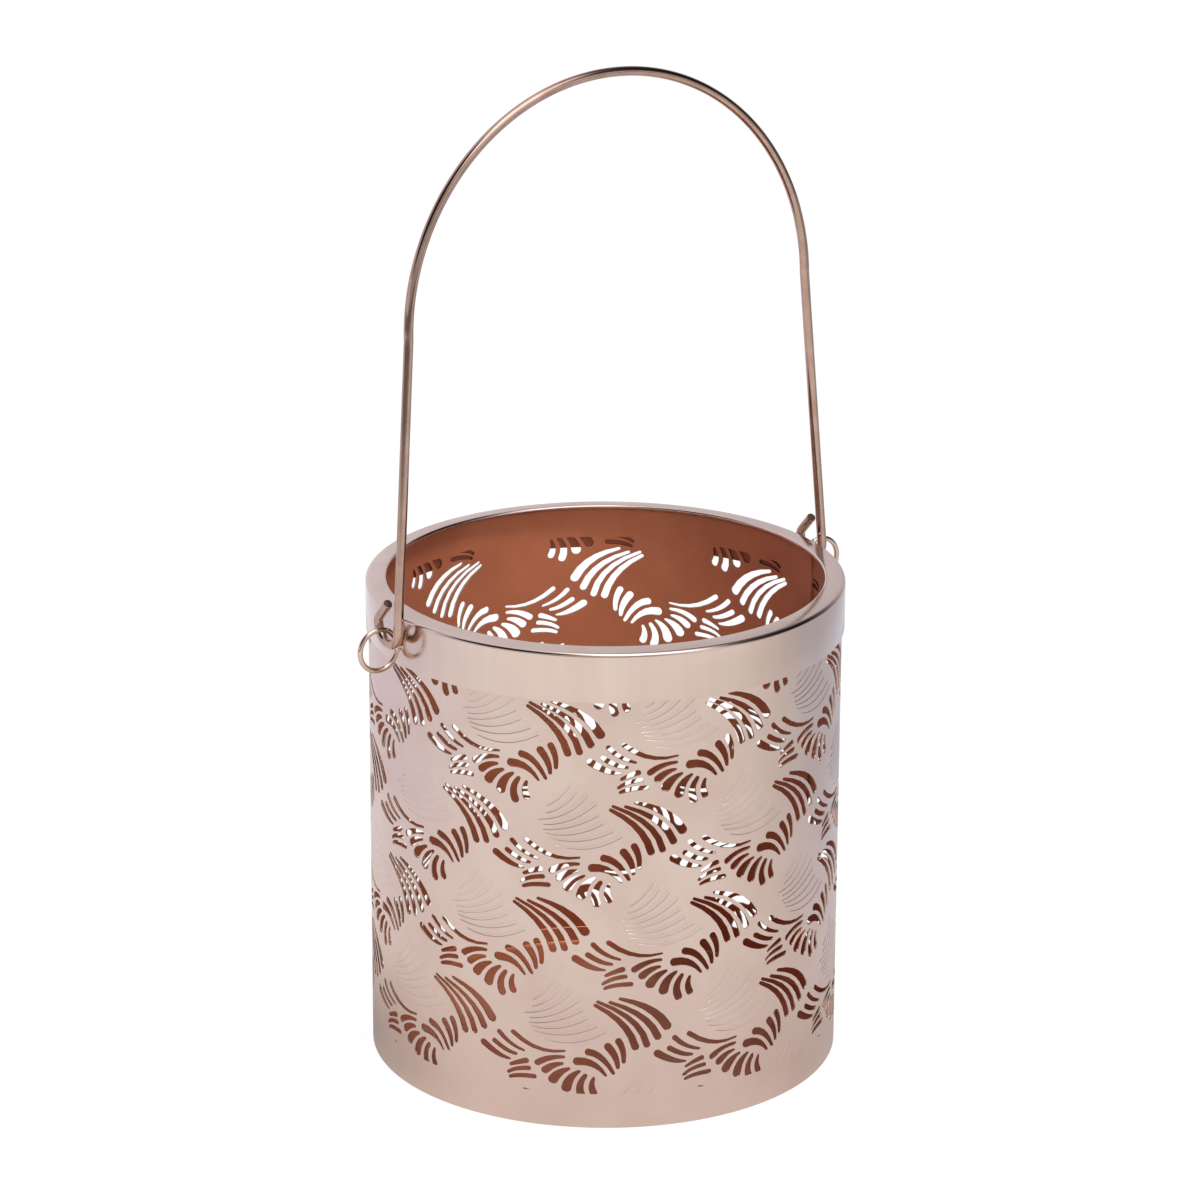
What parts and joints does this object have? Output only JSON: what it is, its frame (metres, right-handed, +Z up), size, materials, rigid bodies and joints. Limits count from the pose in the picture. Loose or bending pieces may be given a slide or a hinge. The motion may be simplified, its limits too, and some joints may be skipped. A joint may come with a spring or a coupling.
{
  "type": "candle lantern",
  "caption": "Pierced sheet-metal candle lantern, a straight round bucket with a rolled rim band, wire ring ears and a hooked wire bail that swings.",
  "frame": {"origin": "centre of the underside, on the surface that the lantern stands on", "axes": "+Z up the body's axis; +X towards the right-hand ear, along the bail's hinge axis; +Y towards the side of the hooks' short ends"},
  "size_m": [0.1504, 0.1254, 0.2649],
  "materials": {
    "satin_sheet": "satin pale rose-gold plating",
    "polished_wire": "polished rose-gold plating",
    "satin_wire": "semi-polished rose-gold plating"
  },
  "bodies": {
    "lantern_body": {"wall_sleeve": "satin_sheet", "base_plate": "satin_sheet", "rim_band": "satin_sheet", "ear_ring_left": "polished_wire", "ear_ring_right": "polished_wire"},
    "bail": {"bail_handle": "satin_wire"}
  },
  "joints": [
    {"name": "bail_swing", "type": "hinge", "parent": "lantern_body", "child": "bail", "pos_m": [0, 0, 0.12655], "axis": [1, 0, 0], "range_deg": [-140, 112]}
  ]
}
